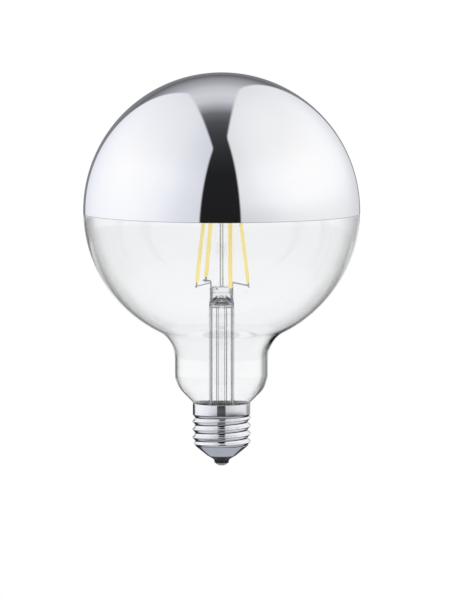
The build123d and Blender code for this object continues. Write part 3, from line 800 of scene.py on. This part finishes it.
# Where one part goes over into the next. Heights are the upward share of a direction, from -1
# straight down to 1 straight up, and depths its share to the back. FLAG_ENDS are angles from a
# flag's middle, as shares of a half turn.
BOX_LOW_HEIGHTS = (-0.08, 0.22)
BOX_HIGH_HEIGHTS = (0.40, 0.85)
LOW_FRONT_HEIGHTS = (-0.11, -0.075)
UNDER_BOX_HEIGHTS = (-0.09, -0.078)
DARK_LOW_HEIGHTS = (-0.17, -0.13)
FLAG_HEIGHTS = (-0.18, -0.14)
FLAG_ENDS = (0.075, 0.15)
BACK_LOW_HEIGHTS = (-0.30, -0.20)
BACK_LOW_DEPTHS = (0.80, 0.90)
UNDERSIDE_HEIGHTS = (-0.66, -0.52)
BACKDROP_HEIGHTS = (-0.100, -0.076)
# What the glass shows by the angle from the middle of the backdrop, in degrees: the backdrop,
# the dark gap round it, the boxes, and the pale room in front
GLASS_FALL = [(0, 1.0), (11, 1.0), (16, 0.26), (27, 0.24), (40, 0.45), (52, 0.85), (75, 0.95),
              (100, 0.90), (150, 0.80), (180, 0.85)]
BACKDROP_MIDDLE = Vector((0, 0.9966, -0.082))
# The backdrop's tone above BACKDROP_HEIGHTS; below them it is white
BACKDROP_UPPER = (0.95, 0.95, 0.955, 1)


def by_angle(stops, tint=(1, 1, 1), full_at=0):
    """Ramp stops from stops in degrees, tinted more and more up to an angle."""
    made = []
    for angle, level in stops:
        share = min(angle / full_at, 1) if full_at else 1
        made.append((angle / 180, tuple(level * (1 - share + share * part) for part in tint)))
    return made


def facing_angle(tree, direction, spot):
    """The angle between a direction and a spot, as a share of a half turn."""
    facing = add(tree, "ShaderNodeVectorMath", {0: direction, 1: tuple(spot.normalized())},
                 operation="DOT_PRODUCT").outputs["Value"]
    return maths(tree, "DIVIDE", maths(tree, "ARCCOSINE", facing), pi)


def box_light(tree, direction, height, box):
    """How much of a soft box is seen along a direction, and its colour there."""
    corners = [box[k] for k in ("front_foot", "front_top", "back_top", "back_foot")]
    mask = 1.0
    for a, b in zip(corners, corners[1:]):
        normal = a.cross(b).normalized()
        if normal.dot(box["hot_spot"]) < 0:
            normal = -normal
        side = add(tree, "ShaderNodeVectorMath", {0: direction, 1: tuple(normal)},
                   operation="DOT_PRODUCT").outputs["Value"]
        mask = maths(tree, "MULTIPLY", mask, smooth_range(tree, side, -BOX_EDGE, BOX_EDGE))
    angle = facing_angle(tree, direction, box["hot_spot"])
    colour = ramp(tree, angle, by_angle(BOX_FALL, box["tint"], TINT_FULL_AT))
    low = smooth_range(tree, height, *BOX_LOW_HEIGHTS, box["low_level"], 1.0)
    high = smooth_range(tree, height, *BOX_HIGH_HEIGHTS, 1.0, BOX_TOP_LEVEL)
    level = maths(tree, "MULTIPLY", low, high)
    dimmed = add(tree, "ShaderNodeVectorMath", {0: colour, "Scale": level}, operation="SCALE")
    return mask, dimmed.outputs[0]


def studio_colour(tree, direction):
    """The room with its boxes and flags, as mirrors and metal show it."""
    y, z = add(tree, "ShaderNodeSeparateXYZ", {0: direction}).outputs[1:]
    over = maths(tree, "ABSOLUTE", maths(tree, "ARCTAN2", z, maths(tree, "MULTIPLY", y, -1.0)))
    room = ramp(tree, maths(tree, "DIVIDE", over, pi), by_angle(ROOM_FALL, ROOM_TINT))
    low_front = smooth_range(tree, z, *LOW_FRONT_HEIGHTS, 1.0, 0.0)
    room = mix_colour(tree, low_front, room, LOW_FRONT)
    for box in (LEFT_BOX, RIGHT_BOX):
        mask, level = box_light(tree, direction, z, box)
        room = mix_colour(tree, mask, room, level)
    dark_low = smooth_range(tree, z, *DARK_LOW_HEIGHTS, 1.0, 0.0)
    room = mix_colour(tree, dark_low, room, grey(DARK_LOW))
    under_boxes = smooth_range(tree, z, *UNDER_BOX_HEIGHTS, 1.0, 0.0)
    back_low = maths(tree, "MULTIPLY", under_boxes, smooth_range(tree, z, *BACK_LOW_HEIGHTS))
    back_low = maths(tree, "MULTIPLY", back_low, smooth_range(tree, y, *BACK_LOW_DEPTHS))
    room = mix_colour(tree, back_low, room, grey(BACK_LOW))
    strip = maths(tree, "MULTIPLY", under_boxes, smooth_range(tree, z, *FLAG_HEIGHTS))
    for spot, level in FLAGS:
        flag = smooth_range(tree, facing_angle(tree, direction, spot), *FLAG_ENDS, 1.0, 0.0)
        room = mix_colour(tree, maths(tree, "MULTIPLY", flag, strip), room, grey(level))
    below = smooth_range(tree, z, *UNDERSIDE_HEIGHTS, 1.0, 0.0)
    return mix_colour(tree, below, room, UNDERSIDE)


def glass_colour(tree, direction):
    """The backdrop and what lies round it, as the glass shows it."""
    z = add(tree, "ShaderNodeSeparateXYZ", {0: direction}).outputs[2]
    around = ramp(tree, facing_angle(tree, direction, BACKDROP_MIDDLE), by_angle(GLASS_FALL))
    height = smooth_range(tree, z, *BACKDROP_HEIGHTS)
    backdrop = mix_colour(tree, height, grey(1.0), BACKDROP_UPPER)
    shown = add(tree, "ShaderNodeVectorMath", {0: around, 1: backdrop}, operation="MULTIPLY")
    return shown.outputs[0]


def light_world():
    """The studio round the lamp, as reflections, glass and plain surfaces see it."""
    world = bpy.data.worlds.new("studio")
    world.use_nodes = True
    tree = world.node_tree
    tree.nodes.clear()
    direction = add(tree, "ShaderNodeTexCoord").outputs["Generated"]
    rays = add(tree, "ShaderNodeLightPath").outputs
    seen = mix_colour(tree, rays["Is Glossy Ray"], grey(1.0), studio_colour(tree, direction))
    seen = mix_colour(tree, rays["Is Transmission Ray"], seen, glass_colour(tree, direction))
    seen = mix_colour(tree, rays["Is Camera Ray"], seen, grey(1.0))
    background = add(tree, "ShaderNodeBackground", {"Color": seen, "Strength": 1.0})
    output = add(tree, "ShaderNodeOutputWorld")
    tree.links.new(background.outputs[0], output.inputs["Surface"])
    bpy.context.scene.world = world


def add_camera():
    """The camera, a long lens a little above the lamp's middle."""
    data = bpy.data.cameras.new("camera")
    camera = bpy.data.objects.new("camera", data)
    bpy.context.collection.objects.link(camera)
    across = (PICTURE_WIDTH / 2 - AXIS_PIXEL_X) / PIXELS_PER_MM * MM
    up = (CONTACT_PIXEL_Y - PICTURE_HEIGHT / 2) / PIXELS_PER_MM * MM
    target = Vector((across, 0, up))
    camera.location = (across, -CAMERA_DISTANCE, CAMERA_HEIGHT)
    sight = target - camera.location
    camera.rotation_mode = "QUATERNION"
    camera.rotation_quaternion = sight.to_track_quat("-Z", "Y")
    data.sensor_fit = "HORIZONTAL"
    data.sensor_width = SENSOR_WIDTH
    picture = PICTURE_WIDTH / PIXELS_PER_MM * MM
    data.lens = SENSOR_WIDTH * sight.length / picture
    data.clip_start = CAMERA_NEAR
    data.clip_end = CAMERA_FAR
    bpy.context.scene.camera = camera


add_floor()
light_world()
add_camera()

scene = bpy.context.scene
scene.view_settings.view_transform = "Standard"
# Enough bounces for light to pass the globe, the stem and the tube in it
scene.cycles.max_bounces = 32
scene.cycles.transmission_bounces = 32
scene.cycles.glossy_bounces = 8
scene.cycles.transparent_max_bounces = 16
